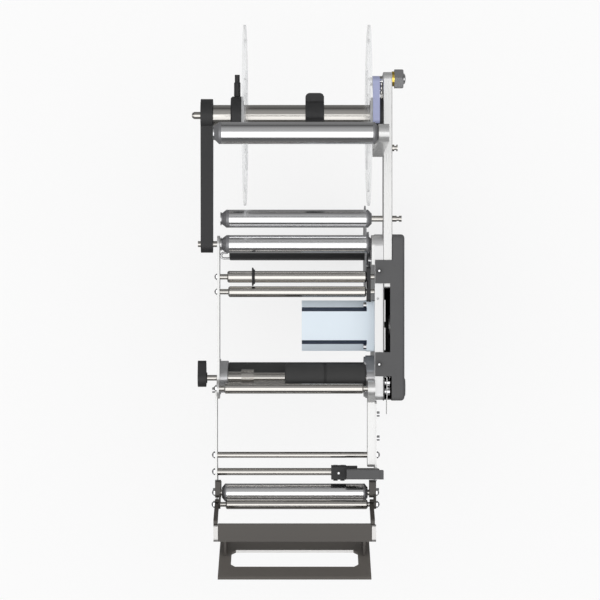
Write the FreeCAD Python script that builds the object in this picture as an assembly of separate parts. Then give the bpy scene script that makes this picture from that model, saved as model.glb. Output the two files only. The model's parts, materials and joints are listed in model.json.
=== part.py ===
"""Label applicator head of a bottle labelling machine, for mounting on a stand.

Machine datum: X runs along the rollers, from the outboard side to the drive side.
Y runs from the peel beak at the front to the label reel at the rear. Z is up, with
the reel and the fixed guide rollers at Z 0. Everything is moved to the row's own
origin, the centre of the stand bolt pattern, as it is written. Millimetres.
"""

import FreeCAD, Part
import math
import os

os.makedirs("parts", exist_ok=True)

V = FreeCAD.Vector
ALONG_X = V(1, 0, 0)
ALONG_Y = V(0, 1, 0)

# ---- driving dimensions -----------------------------------------------------
RUN = 0.05                  # radial clearance of a running fit
GAP = 0.3                   # clearance between pieces that pass each other

PLATE_IN = 124.0            # inner face of the main plate
PLATE_OUT = 138.0           # outer face of the main plate
PAD_OUT = 140.0             # machined face of the stand pad
PLATE_FRONT = -166.0
PLATE_REAR = 109.4
PLATE_TOP = 20.0

STAND_Y, STAND_Z = -110.0, -180.0
STAND_SPACING_Y = 80.0
STAND_SPACING_Z = 40.0
STAND_HOLE_R = 4.5

REEL_Y, REEL_Z = 307.5, 0.0
REEL_DISC_R = 150.0
REEL_DISC_T = 4.0
REEL_TUBE_R = 17.5
OUTER_DISC_X = -93.7
INNER_DISC_X = 112.3

COLUMN_IN, COLUMN_OUT = 138.0, 153.0
COLUMN_HALF = 20.0

BRAKE_Y, BRAKE_Z = 368.5, 0.0
BRAKE_DRUM_R = 30.0
SPRING_POST_Y, SPRING_Z = 337.0, 15.0
BRAKE_PIN_Y = 364.3         # the lever pivots on the stud's eccentric pin
DANCER_Y, DANCER_Z = 253.5, 0.0
DANCER_ROLLER_Y, DANCER_ROLLER_Z = 257.0, 280.0
DANCER_ROLLER_R = 17.0
REAR_ROLLER_Y = 135.5
CENTRE_ROLLER_Y = 93.2
UPPER_STEEL_Y = 38.7
LOWER_STEEL_Y = 13.8
FRONT_STEEL_Y, FRONT_STEEL_Z = -146.0, 30.0
GUIDE_R = 15.0
GUIDE_AXLE_R = 5.0
STEEL_SHAFT_R = 4.5

NIP_Y = -129.5
NIP_ECCENTRIC = 3.0         # the pressure roller's offset from the lever's axis
TRACTION_Z = -48.5
TRACTION_R = 24.5
PRESSURE_R = 23.7
TRACTION_SHAFT_R = 7.5

MOTOR_Y, MOTOR_Z = -43.0, -48.0
MOTOR_SIDE = 86.0
MOTOR_SCREW = 34.8          # half of the motor's screw spacing
MOTOR_PILOT_R = 36.5

REWIND_Y, REWIND_Z = 92.0, -300.0
REWIND_R = 20.5
REWIND_SHAFT_R = 6.0

MOTOR_PULLEY_R = 16.0
TRACTION_PULLEY_R = 24.0
PULLEY_LIP = 2.3
REWIND_PULLEY_R = 11.5
BELT_A = (142.0, 149.0)
BELT_B = (153.5, 160.5)

LEFT_BAR_OUT, LEFT_BAR_IN = -137.5, -133.5
SIDE_T = 3.5
ARM_IN = 112.0
TIE_ROD_Y, TIE_ROD_R = -258.0, 5.0
SENSOR_ROD_Y, SENSOR_ROD_R = -286.0, 6.0

PEEL_A_Y, PEEL_A_Z = -320.8, 0.0
PEEL_B_Y, PEEL_B_Z = -338.8, 19.0
PEEL_B_R = 8.0
PEEL_AXLE_B_R = 4.0
BEAK_FOOT = (-396.3, 23.0)
BEAK_TIP = (-444.4, 149.0)
BEAK_T = 4.0
BAR_BACK, BAR_FRONT = -364.6, -393.5
BAR_LOW, BAR_TOP = 75.0, 85.0
TILT_LEFT = (-141.0, -134.7)
TILT_RIGHT = (115.5, 122.0)

COVER_WALL = 2.5
COVER_OUT = 173.3
COVER_TOP = 22.5


# ---- helpers ----------------------------------------------------------------
def rod(x0, x1, y, z, radius):
    """A round bar along X."""
    return Part.makeCylinder(radius, x1 - x0, V(x0, y, z), ALONG_X)


def ring(x0, x1, y, z, outer, inner):
    """A round tube along X."""
    return rod(x0, x1, y, z, outer).cut(rod(x0 - 1, x1 + 1, y, z, inner))


def turned(y, z, profile):
    """Revolve a closed list of (x, radius) points about the X line through (y, z)."""
    points = [V(x, y + radius, z) for x, radius in profile]
    face = Part.Face(Part.makePolygon(points + points[:1]))
    return face.revolve(V(0, y, z), ALONG_X, 360)


def block(x0, x1, y0, y1, z0, z1):
    """A plain box between two corners."""
    return Part.makeBox(x1 - x0, y1 - y0, z1 - z0, V(x0, y0, z0))


def outline(points, x):
    """A closed wire at x through (y, z, corner radius) points, corners as arcs."""
    corners = [V(x, p[0], p[1]) for p in points]
    edges = []
    ends = []
    for i, here in enumerate(corners):
        radius = points[i][2] if len(points[i]) > 2 else 0.0
        if radius == 0.0:
            ends.append((here, here))
            continue
        back = (corners[i - 1] - here).normalize()
        ahead = (corners[(i + 1) % len(corners)] - here).normalize()
        half = back.getAngle(ahead) / 2
        reach = radius / math.tan(half)
        start = here + back * reach
        stop = here + ahead * reach
        middle = here + (back + ahead).normalize() * (radius / math.sin(half) - radius)
        edges.append(Part.Arc(start, middle, stop).toShape())
        ends.append((start, stop))
    for i in range(len(ends)):
        leave = ends[i][1]
        arrive = ends[(i + 1) % len(ends)][0]
        if leave.distanceToPoint(arrive) > 1e-6:
            edges.append(Part.LineSegment(leave, arrive).toShape())
    return Part.Wire(Part.__sortEdges__(edges))


def plate(x0, x1, points):
    """A flat plate between x0 and x1 with the given outline."""
    return Part.Face(outline(points, x0)).extrude(V(x1 - x0, 0, 0))


def lobe_pair(x0, x1, first, second):
    """A link outline round two circles (y, z, r), joined by their outer tangents."""
    return Part.Face(tangent_loop(first, second, x0)).extrude(V(x1 - x0, 0, 0))


def tangent_loop(first, second, x):
    """The closed wire of an open belt round two circles (y, z, r) at x."""
    ay, az, ar = first
    by, bz, br = second
    span = math.hypot(by - ay, bz - az)
    heading = math.atan2(bz - az, by - ay)
    lean = math.acos((ar - br) / span)

    def on(circle, angle):
        return V(x, circle[0] + circle[2] * math.cos(angle), circle[1] + circle[2] * math.sin(angle))

    upper = heading + lean
    lower = heading - lean
    edges = [
        Part.LineSegment(on(first, upper), on(second, upper)).toShape(),
        Part.Arc(on(second, upper), on(second, heading), on(second, lower)).toShape(),
        Part.LineSegment(on(second, lower), on(first, lower)).toShape(),
        Part.Arc(on(first, lower), on(first, heading + math.pi), on(first, upper)).toShape(),
    ]
    return Part.Wire(edges)


def drilled(shape, x0, x1, holes):
    """Cut round holes along X, each (y, z, radius)."""
    for y, z, radius in holes:
        shape = shape.cut(rod(x0 - 1, x1 + 1, y, z, radius))
    return shape


def fused(first, *others):
    """Join solids into one clean solid."""
    return first.fuse(list(others)).removeSplitter()


def save(name, *solids):
    """Write one node, moved from the machine datum to the row's origin."""
    shape = Part.makeCompound(list(solids))
    shape.translate(V(-PAD_OUT, -STAND_Y, -STAND_Z))
    shape.exportStep(f"parts/{name}.step")


def hexagon(y, z, across, turn=0.0):
    """Corners of a hexagon measured across its flats, turned by an angle in radians."""
    corner = across / math.sqrt(3)
    return [
        (y + corner * math.cos(turn + k * math.pi / 3), z + corner * math.sin(turn + k * math.pi / 3))
        for k in range(6)
    ]


def dome_nut(face, y, z, side, across):
    """A low hexagon cap nut against a face, its dome towards side (+1 or -1)."""
    tip = face + side * across * 0.28
    low, high = sorted((face, tip))
    dome = turned(y, z, [
        (tip, 0), (tip, across * 0.47), (tip + side * across * 0.2, across * 0.34),
        (tip + side * across * 0.3, 0),
    ])
    return fused(plate(low, high, hexagon(y, z, across)), dome)


def socket_screw(face, y, z, side, radius, length):
    """A socket head cap screw on a face: head towards side, shank the other way."""
    head = radius * 2.0
    low, high = sorted((face, face + side * head))
    solid = rod(low, high, y, z, radius * 1.75)
    low, high = sorted((face, face - side * length))
    solid = fused(solid, rod(low, high, y, z, radius))
    low, high = sorted((face + side * head * 0.4, face + side * (head + 1)))
    return solid.cut(plate(low, high, hexagon(y, z, radius * 1.7)))


# ---- frame ------------------------------------------------------------------
STAND_HOLES = [
    (STAND_Y + sy * STAND_SPACING_Y / 2, STAND_Z + sz * STAND_SPACING_Z / 2, STAND_HOLE_R)
    for sy in (-1, 1) for sz in (-1, 1)
]
MOTOR_HOLES = [
    (MOTOR_Y + sy * MOTOR_SCREW, MOTOR_Z + sz * MOTOR_SCREW) for sy in (-1, 1) for sz in (-1, 1)
]
COLUMN_SCREWS = [(y, z) for y in (35.0, 92.0) for z in (-11.0, 11.0)]
COVER_SCREW_Y = (48.0, -106.5)
ARM_SCREW = (-159.0, 11.0)
ARM_SCREW_SEAT = 132.4
BEARING_6202 = (TRACTION_SHAFT_R, 17.5, 11.0)
BEARING_6001 = (REWIND_SHAFT_R, 14.0, 8.0)


def main_plate():
    """The 14 mm tool plate, boot shaped, that carries the whole head."""
    solid = plate(PLATE_IN, PLATE_OUT, [
        (PLATE_FRONT, PLATE_TOP, 10), (PLATE_REAR, PLATE_TOP, 20), (PLATE_REAR, -335, 12),
        (45, -335, 12), (-25, -213, 40), (PLATE_FRONT, -213, 12),
    ])
    pads = [block(PLATE_OUT, 141.5, -36, 0, -14, 18), block(PLATE_OUT, 141.5, -83, -46, -14, 18)]
    pads.append(plate(PLATE_OUT, PAD_OUT, [
        (STAND_Y - 54, STAND_Z - 31, 12), (STAND_Y + 54, STAND_Z - 31, 12),
        (STAND_Y + 54, STAND_Z + 31, 12), (STAND_Y - 54, STAND_Z + 31, 12),
    ]))
    solid = fused(solid, *pads)
    solid = drilled(solid, PLATE_IN, PAD_OUT, STAND_HOLES)
    solid = drilled(solid, PLATE_IN, PLATE_OUT, [(y, z, 2.5) for y, z in MOTOR_HOLES])
    solid = drilled(solid, PLATE_IN, PLATE_OUT, [(y, z, 3.0) for y, z in COLUMN_SCREWS])
    solid = drilled(solid, PLATE_IN, PLATE_OUT, [
        (MOTOR_Y, MOTOR_Z, 20.0),
        (NIP_Y, TRACTION_Z, BEARING_6202[1] - 3),
        (REWIND_Y, REWIND_Z, BEARING_6001[1] - 2),
        (UPPER_STEEL_Y, 0, STEEL_SHAFT_R),
        (LOWER_STEEL_Y, 0, STEEL_SHAFT_R),
        (CENTRE_ROLLER_Y, 0, GUIDE_AXLE_R),
        ARM_SCREW + (2.5,),
    ])
    solid = solid.cut(rod(ARM_SCREW_SEAT, PLATE_OUT + 1, *ARM_SCREW, 4.7))
    solid = solid.cut(rod(PLATE_IN - 1, PLATE_IN + 2, MOTOR_Y, MOTOR_Z, MOTOR_PILOT_R))
    solid = solid.cut(rod(PLATE_OUT - BEARING_6202[2], 142, NIP_Y, TRACTION_Z, BEARING_6202[1]))
    solid = solid.cut(rod(PLATE_OUT - BEARING_6001[2], 142, REWIND_Y, REWIND_Z, BEARING_6001[1]))
    for y in COVER_SCREW_Y:
        solid = solid.cut(Part.makeCylinder(2, 12, V(131.5, y, PLATE_TOP - 12)))
    return solid.cut(Part.makeCylinder(2, 10, V(129, 2.5, PLATE_TOP - 10)))


def reel_column():
    """The upright bar, bolted on the main plate, that carries the reel and dancer."""
    solid = plate(COLUMN_IN, COLUMN_OUT, [
        (20, -COLUMN_HALF, 4), (379, -COLUMN_HALF, 12), (379, COLUMN_HALF, 12), (20, COLUMN_HALF, 4),
    ])
    long_edges = [e for e in solid.Edges if abs(e.CenterOfMass.z) == COLUMN_HALF and e.Length > 100]
    solid = solid.makeChamfer(1.0, long_edges)
    solid = drilled(solid, COLUMN_IN, COLUMN_OUT, [
        (REEL_Y, REEL_Z, 14.0), (BRAKE_Y, BRAKE_Z, 6.0), (DANCER_Y, DANCER_Z, 5.5 + RUN),
        (REAR_ROLLER_Y, 0, GUIDE_AXLE_R), (SPRING_POST_Y, SPRING_Z, 1.5),
    ])
    solid = drilled(solid, COLUMN_IN, COLUMN_OUT, [(y, z, 3.3) for y, z in COLUMN_SCREWS])
    solid = drilled(solid, COLUMN_IN, COLUMN_OUT, [
        (UPPER_STEEL_Y, 0, 7.0), (CENTRE_ROLLER_Y, 0, 7.0),
    ])
    return solid


def inner_bracket():
    """The doubler on the inside of the main plate round the centre roller's axle."""
    solid = plate(119, PLATE_IN, [(57, -24, 6), (108, -24, 6), (108, PLATE_TOP, 18), (57, PLATE_TOP, 3)])
    return drilled(solid, 119, PLATE_IN, [(CENTRE_ROLLER_Y, 0, GUIDE_AXLE_R), (66, -12, 2.5)])


def left_bar():
    """The outboard side plate between the centre roller and the nip."""
    rail = plate(LEFT_BAR_OUT, LEFT_BAR_IN, [(-164, -20, 12), (107, -20, 14), (107, 20, 14), (-164, 20, 12)])
    raised = lobe_pair(LEFT_BAR_OUT, LEFT_BAR_IN, (FRONT_STEEL_Y, FRONT_STEEL_Z, 14), (FRONT_STEEL_Y, 0, 12))
    lowered = lobe_pair(LEFT_BAR_OUT, LEFT_BAR_IN, (NIP_Y, TRACTION_Z, 30), (NIP_Y, 0, 20))
    solid = fused(rail, raised, lowered)
    return drilled(solid, LEFT_BAR_OUT, LEFT_BAR_IN, [
        (CENTRE_ROLLER_Y, 0, GUIDE_AXLE_R), (UPPER_STEEL_Y, 0, STEEL_SHAFT_R),
        (LOWER_STEEL_Y, 0, STEEL_SHAFT_R), (FRONT_STEEL_Y, FRONT_STEEL_Z, STEEL_SHAFT_R),
        (NIP_Y, TRACTION_Z, 12.0), (NIP_Y, NIP_ECCENTRIC, 7.0), (-150, 6, 2.5), (-150, -9, 2.5),
    ])


def right_arm():
    """The thick arm that carries the peel end on the drive side."""
    rail = plate(ARM_IN, PLATE_IN, [(-277, -16, 5), (-153, -10, 3), (-153, 18, 3), (-277, 18, 5)])
    raised = lobe_pair(ARM_IN, PLATE_IN, (FRONT_STEEL_Y, FRONT_STEEL_Z, 13.5), (-162, 8, 12))
    solid = fused(rail, raised)
    return drilled(solid, ARM_IN, PLATE_IN, [
        (FRONT_STEEL_Y, FRONT_STEEL_Z, STEEL_SHAFT_R), (TIE_ROD_Y, 0, TIE_ROD_R), ARM_SCREW + (2.5,),
        (-190, 0, 2.5), (-230, 0, 2.5),
    ])


def side_plate(x0, rear):
    """One thin side plate, stepped down at the front for the peel block."""
    solid = plate(x0, x0 + SIDE_T, [
        (rear, -20, 5), (rear, 15, 5), (-300.8, 15, 4), (-300.8, -14), (-333, -14, 4), (-340, -40, 9),
        (-300, -40, 20), (-262, -20, 20),
    ])
    return drilled(solid, x0, x0 + SIDE_T, [
        (TIE_ROD_Y, 0, TIE_ROD_R), (SENSOR_ROD_Y, 0, SENSOR_ROD_R), (-320, -26, 2.5),
    ])


def peel_side_plates():
    """The outboard and the drive side plates of the peel end."""
    outboard = drilled(side_plate(-141, -142), -141, -137, [(-150, 6, 2.5), (-150, -9, 2.5)])
    drive = drilled(side_plate(PLATE_IN, -168), PLATE_IN, 128, [(-190, 0, 2.6), (-230, 0, 2.6)])
    return [outboard, drive]


def fixed_shafts():
    """Every still shaft: two tie rods, four steel-roller shafts, three guide axles."""
    groove = [(160.8, 6), (160.8, 3.6), (165, 3.6), (165, 6)]
    rear_axle = rod(-124, 169.2, REAR_ROLLER_Y, 0, GUIDE_AXLE_R)
    rear_axle = rear_axle.cut(turned(REAR_ROLLER_Y, 0, groove))
    return [
        rod(-141, 127.5, TIE_ROD_Y, 0, TIE_ROD_R),
        rod(-141, 127.5, SENSOR_ROD_Y, 0, SENSOR_ROD_R),
        rod(LEFT_BAR_OUT, 136, UPPER_STEEL_Y, 0, STEEL_SHAFT_R),
        rod(LEFT_BAR_OUT, 136, LOWER_STEEL_Y, 0, STEEL_SHAFT_R),
        rod(LEFT_BAR_OUT, PLATE_IN, FRONT_STEEL_Y, FRONT_STEEL_Z, STEEL_SHAFT_R),
        rod(-141, 126.3, PEEL_B_Y, PEEL_B_Z, PEEL_AXLE_B_R),
        rear_axle,
        rod(-170, 136, CENTRE_ROLLER_Y, 0, GUIDE_AXLE_R),
        rod(-141, 126.3, PEEL_A_Y, PEEL_A_Z, GUIDE_AXLE_R),
    ]


def dome_nuts():
    """The cap nuts on the ends of the rods and shafts."""
    nuts = []
    for y, z in ((TIE_ROD_Y, 0), (SENSOR_ROD_Y, 0), (PEEL_A_Y, 0), (PEEL_B_Y, PEEL_B_Z)):
        nuts.append(dome_nut(-141, y, z, -1, 10.0))
    for y, z, face in ((TIE_ROD_Y, 0, 127.5), (SENSOR_ROD_Y, 0, 127.5),
                       (PEEL_A_Y, 0, 126.3), (PEEL_B_Y, PEEL_B_Z, 126.3)):
        nuts.append(dome_nut(face, y, z, 1, 10.0))
    for y, z in ((UPPER_STEEL_Y, 0), (LOWER_STEEL_Y, 0), (FRONT_STEEL_Y, FRONT_STEEL_Z)):
        nuts.append(dome_nut(LEFT_BAR_OUT, y, z, -1, 9.0))
    return nuts


def socket_screws():
    """The cap screws that hold the frame, the motor and the cover."""
    screws = [socket_screw(COLUMN_OUT, y, z, 1, 3.0, 27) for y, z in COLUMN_SCREWS]
    screws += [socket_screw(111, y, z, -1, 2.5, 20) for y, z in MOTOR_HOLES]
    screws += [socket_screw(-141, -150, z, -1, 2.5, 7) for z in (6, -9)]
    screws += [socket_screw(127.5, y, 0, 1, 2.5, 12) for y in (-190, -230)]
    screws += [socket_screw(ARM_SCREW_SEAT, *ARM_SCREW, 1, 2.5, 16)]
    screws += [socket_screw(119, 66, -12, -1, 2.5, 5)]
    screws += [socket_screw(-141, -320, -26, -1, 2.5, 8)]
    screws += [socket_screw(127.5, -320, -26, 1, 2.5, 8)]
    for y in COVER_SCREW_Y:
        screw = socket_screw(0, 0, 0, 1, 2.0, 10)
        screw.rotate(V(0, 0, 0), ALONG_Y, -90)
        screw.translate(V(131.5, y, COVER_TOP))
        screws.append(screw)
    return screws


def edge_guide():
    """The plastic block that sets the web's edge beside the two steel rollers."""
    solid = plate(111, 117.5, [
        (-3, -4.6), (0.6, -4.6), (0.6, -14, 2), (56, -14, 4), (56, 14, 6), (-3, 14, 6),
    ])
    groove = block(110, 113, 20, 33, 2, 15)
    return drilled(solid.cut(groove), 111, 117.5, [
        (UPPER_STEEL_Y, 0, STEEL_SHAFT_R), (LOWER_STEEL_Y, 0, STEEL_SHAFT_R),
    ])


# ---- drive cover and its fittings ------------------------------------------
def cover_points(inset):
    """The cover's outline, drawn in by inset."""
    return [
        (-167 + inset, COVER_TOP - inset, 8 - inset), (109 - inset, COVER_TOP - inset, 8 - inset),
        (109 - inset, -345 + inset, 12), (58 + inset, -345 + inset, 12),
        (-26 + inset * 0.6, -142 + inset, 12), (-167 + inset, -142 + inset, 8 - inset),
    ]


def drive_cover():
    """The folded housing over the belts, with ears over the plate's top edge."""
    shell = plate(PLATE_OUT, COVER_OUT, cover_points(0))
    rim = [e for e in shell.Edges if abs(e.CenterOfMass.x - COVER_OUT) < 0.01]
    shell = shell.makeFillet(6.0, rim)
    inside = plate(PLATE_OUT - 1, COVER_OUT - COVER_WALL, cover_points(COVER_WALL))
    inner_rim = [e for e in inside.Edges if abs(e.CenterOfMass.x - COVER_OUT + COVER_WALL) < 0.01]
    inside = inside.makeChamfer(4.0, inner_rim)
    shell = shell.cut(inside)
    ears = []
    for y0, y1 in ((27.5, 66.5), (-126.5, -86.5)):
        ear = block(PLATE_IN + 0.5, PLATE_OUT + 4, y0, y1, PLATE_TOP, COVER_TOP)
        ears.append(ear)
    shell = fused(shell, *ears)
    boss = turned(-148, -60, [(168, 0), (168, 17), (COVER_OUT + 2.5, 17), (178, 14), (178, 0)])
    shell = fused(shell, boss.cut(inside))
    shell = shell.cut(block(PLATE_OUT - 1, COLUMN_OUT + GAP, 66.5, 112, -20.5, 30))
    shell = shell.cut(block(PLATE_OUT - 1, COLUMN_OUT + GAP, 18, 67, -20.5, PLATE_TOP))
    shell = shell.cut(block(139.5, 149.5, -86.5, 27.5, 15, 30))
    shell = shell.cut(block(139.5, 152, -170, -126.5, -15, 30))
    for y in COVER_SCREW_Y:
        shell = shell.cut(Part.makeCylinder(2.2, 6, V(131.5, y, PLATE_TOP - 1)))
    return shell


def connector_panel():
    """The small sheet at the front of the drive that holds the two sockets."""
    face = block(144, 145, -190, -128, -14.5, 12)
    web = block(PLATE_OUT, 145, -129, -128, -14.5, 0)
    foot = block(PLATE_OUT, PLATE_OUT + 1, -129, -116, -14.5, 0)
    solid = fused(face, web, foot)
    return drilled(solid, 144, 145, [(-137, 0, 5), (-152, 0, 5)])


def panel_sockets():
    """Two round panel sockets with a bored mouth."""
    return [
        turned(y, 0, [(141, 3.5), (141, 5), (145, 5), (145, 6.8), (149.5, 6.8), (149.5, 3.5)])
        for y in (-137, -152)
    ]


# ---- motor and belts --------------------------------------------------------
def drive_motor():
    """The 86 mm square stepper motor: a stack with V-shaped corners, flange and pilot."""
    h = MOTOR_SIDE / 2 - 0.75
    section = []
    for k in range(4):
        across, up = round(math.cos(k * math.pi / 2)), round(math.sin(k * math.pi / 2))
        for u, v in ((h, -24), (h, 24), (30, 30)):
            section.append((MOTOR_Y + u * across - v * up, MOTOR_Z + u * up + v * across))
    body = plate(3, 111, section)
    front = plate(111, PLATE_IN, [
        (MOTOR_Y - 43, MOTOR_Z - 43, 4), (MOTOR_Y + 43, MOTOR_Z - 43, 4),
        (MOTOR_Y + 43, MOTOR_Z + 43, 4), (MOTOR_Y - 43, MOTOR_Z + 43, 4),
    ])
    pilot = rod(PLATE_IN, PLATE_IN + 1.6, MOTOR_Y, MOTOR_Z, MOTOR_PILOT_R)
    solid = fused(body, front, pilot)
    solid = solid.cut(rod(60, 130, MOTOR_Y, MOTOR_Z, 7 + 2 * RUN))
    return drilled(solid, 111, PLATE_IN, [(y, z, 2.6) for y, z in MOTOR_HOLES])


def flanged_pulley(y, z, radius, tracks, bore):
    """A belt pulley with a flange each side of every track."""
    profile = [(tracks[0][0] - 1.8, bore), (tracks[0][0] - 1.8, radius + PULLEY_LIP)]
    for low, high in tracks:
        profile += [(low - 0.6, radius + PULLEY_LIP), (low - 0.6, radius)]
        profile += [(high + 0.6, radius), (high + 0.6, radius + PULLEY_LIP)]
    profile += [(tracks[-1][1] + 1.8, radius + PULLEY_LIP), (tracks[-1][1] + 1.8, bore)]
    return turned(y, z, profile)


def motor_rotor():
    """The motor's shaft with its two-track pulley."""
    shaft = rod(61, 164, MOTOR_Y, MOTOR_Z, 7)
    return [shaft, flanged_pulley(MOTOR_Y, MOTOR_Z, MOTOR_PULLEY_R, (BELT_A, BELT_B), 7)]


def belt(tracks, first, second):
    """A flat belt loop that clears both pulleys by a hair."""
    low, high = tracks
    lift = 0.25
    thick = 1.8

    def loop(x0, x1, grow):
        return lobe_pair(x0, x1, first[:2] + (first[2] + grow,), second[:2] + (second[2] + grow,))
    return loop(low, high, lift + thick).cut(loop(low - 1, high + 1, lift))


def drive_belts():
    """The traction belt and the rewinder belt."""
    motor = (MOTOR_Y, MOTOR_Z, MOTOR_PULLEY_R)
    return [
        belt(BELT_A, motor, (NIP_Y, TRACTION_Z, TRACTION_PULLEY_R)),
        belt(BELT_B, motor, (REWIND_Y, REWIND_Z, REWIND_PULLEY_R)),
    ]


def ball_bearings():
    """Shielded ball bearings: two on the traction roller, one each for rewinder and reel."""
    def bearing(x0, y, z, size):
        bore, outer, width = size
        solid = ring(x0, x0 + width, y, z, outer, bore + RUN)
        for face, step in ((x0, 1), (x0 + width, -1)):
            low, high = sorted((face - step, face + step * 0.8))
            solid = solid.cut(ring(low, high, y, z, outer - 2.6, bore + 2.6))
        return solid
    return [
        bearing(PLATE_OUT - BEARING_6202[2], NIP_Y, TRACTION_Z, BEARING_6202),
        bearing(-132, NIP_Y, TRACTION_Z, BEARING_6202),
        bearing(PLATE_OUT - BEARING_6001[2], REWIND_Y, REWIND_Z, BEARING_6001),
        bearing(COLUMN_OUT - BEARING_6001[2], REEL_Y, REEL_Z, BEARING_6001),
    ]


# ---- reel -------------------------------------------------------------------
def reel_mandrel():
    """The steel tube that carries the label roll, with its shaft and outboard pin."""
    tube = ring(-144, 121, REEL_Y, REEL_Z, REEL_TUBE_R, 15.0)
    cap = turned(REEL_Y, REEL_Z, [
        (-144, 15), (-144, 6), (-176, 6), (-179, 4.5), (-180, 2.5), (-180, 0), (-132, 0), (-132, 15),
    ])
    shaft = turned(REEL_Y, REEL_Z, [
        (109, 0), (109, 15), (121, 15), (121, 12), (133.4, 12), (133.4, 9), (144.8, 9), (144.8, 6),
        (153, 6), (153, 0),
    ])
    return [tube, cap, shaft]


def reel_disc(x0, bore):
    """One clear reel flange with three kidney windows."""
    solid = ring(x0, x0 + REEL_DISC_T, REEL_Y, REEL_Z, REEL_DISC_R, bore)
    for k in range(3):
        window = Part.makeCylinder(127, REEL_DISC_T + 2, V(x0 - 1, REEL_Y, REEL_Z), ALONG_X, 84)
        window = window.cut(rod(x0 - 2, x0 + REEL_DISC_T + 2, REEL_Y, REEL_Z, 62))
        window.rotate(V(0, REEL_Y, REEL_Z), ALONG_X, 18 + 120 * k)
        solid = solid.cut(window)
    return solid


def jaw(angle):
    """One radial jaw of the core adapter, its outer corners rounded."""
    profile = Part.makePolygon([
        V(9, 20, -7), V(40, 20, -7), V(40, 31, -7), V(38, 35, -7), V(34, 37, -7),
        V(15, 37, -7), V(11, 35, -7), V(9, 31, -7), V(9, 20, -7),
    ])
    solid = Part.Face(profile).extrude(V(0, 0, 14))
    solid.translate(V(0, REEL_Y, REEL_Z))
    solid.rotate(V(0, REEL_Y, REEL_Z), ALONG_X, angle)
    return solid


def core_adapter():
    """The three-jaw adapter that fills a 76 mm core on the mandrel."""
    hub = ring(9, 40, REEL_Y, REEL_Z, 24, REEL_TUBE_R)
    return fused(hub, *[jaw(120 * k) for k in range(3)])


def clamp_hub():
    """The split clamp hub of the outer reel disc, with its screw boss."""
    solid = turned(REEL_Y, REEL_Z, [
        (-115, REEL_TUBE_R + RUN), (-115, 29), (-112.5, 31.5), (OUTER_DISC_X, 31.5),
        (OUTER_DISC_X, REEL_TUBE_R + RUN),
    ])
    return solid.cut(Part.makeCylinder(4 + RUN, 40, V(-104.5, REEL_Y, REEL_Z), ALONG_Y))


def hub_knob():
    """The clamp knob: a grooved barrel and tip on a screw into the hub."""
    profile = [
        (18.6, 0), (18.6, 4), (32, 4), (32, 5.5), (54, 5.5), (55.5, 4.2), (67.5, 4.2), (67.5, 0),
    ]
    face = Part.Face(Part.makePolygon([V(r, y, 0) for y, r in profile + profile[:1]]))
    solid = face.revolve(V(0, 0, 0), ALONG_Y, 360)
    for k in range(6):
        angle = k * math.pi / 3
        flute = Part.makeCylinder(1.4, 17, V(6.1 * math.cos(angle), 36, 6.1 * math.sin(angle)), ALONG_Y)
        solid = solid.cut(flute)
    solid.translate(V(-104.5, REEL_Y, REEL_Z))
    return solid


def brake_drum():
    """The brake drum fixed on the reel's shaft."""
    return turned(REEL_Y, REEL_Z, [
        (116.6, 17.6), (116.6, BRAKE_DRUM_R), (137.2, BRAKE_DRUM_R), (137.2, 12), (121.2, 12), (121.2, 17.6),
    ])


def brake_lever():
    """The bent brake lever: pivot boss, arm over the drum, and shoe."""
    low, high = 120.4, 131.7
    boss = ring(low, high, BRAKE_PIN_Y, BRAKE_Z, 9, 5 + RUN)
    arm = plate(low, high, [
        (369, 5), (369, 37, 8), (292, 41, 6), (292, 31.5), (318, 31.5), (343, 28, 6), (356.5, 5, 3),
    ])
    post = rod(high, high + 4, BRAKE_PIN_Y + 1.2, SPRING_Z, 1.2)
    solid = fused(boss, arm.cut(rod(low - 1, high + 1, BRAKE_PIN_Y, BRAKE_Z, 8)), post)
    return solid.cut(rod(low - 1, high + 1, REEL_Y, REEL_Z, BRAKE_DRUM_R + GAP))


def brake_adjuster():
    """The brake's eccentric pivot stud and the big domed nut that turns and locks it."""
    pin = turned(BRAKE_PIN_Y, BRAKE_Z, [
        (116.8, 0), (116.8, 7), (119.9, 7), (119.9, 5), (132.2, 5), (132.2, 9), (137.6, 9), (137.6, 0),
    ])
    shank = turned(BRAKE_Y, BRAKE_Z, [(137, 0), (137, 6), (157, 6), (157, 5), (168, 5), (168, 0)])
    stud = fused(pin, shank)
    nut = plate(157, 172, hexagon(BRAKE_Y, BRAKE_Z, 30.0, math.pi / 6))
    limit = turned(BRAKE_Y, BRAKE_Z, [(156, 0), (156, 17.4), (169.6, 17.4), (172, 15.2), (172, 0)])
    dome = turned(BRAKE_Y, BRAKE_Z, [(172, 0), (172, 9.5), (174, 8.5), (175.5, 5.5), (176, 0)])
    nut = fused(nut.common(limit), dome).cut(rod(156, 168, BRAKE_Y, BRAKE_Z, 5))
    return [stud, nut]


def brake_spring():
    """The brake's return spring: three thick coils and a leg on a post in the column."""
    pitch = 7.0
    coils = 3
    leg_end = SPRING_POST_Y - 2.5
    start = 341.0
    profile = [(leg_end, 0), (leg_end, 0.8), (start, 1.4)]
    for k in range(coils):
        y = start + k * pitch
        profile += [(y + pitch * 0.2, 2.6), (y + pitch * 0.7, 2.6), (y + pitch, 1.6)]
    profile.append((start + coils * pitch, 0))
    face = Part.Face(Part.makePolygon([V(r, y, 0) for y, r in profile + profile[:1]]))
    solid = face.revolve(V(0, 0, 0), ALONG_Y, 360)
    solid.translate(V(134.8, 0, SPRING_Z))
    return fused(solid, rod(134.8, 142, SPRING_POST_Y, SPRING_Z, 1.5))


def brake_washer():
    """The brass thrust washer under the big nut."""
    return ring(COLUMN_OUT, 157, BRAKE_Y, BRAKE_Z, 12.5, 6)


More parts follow.
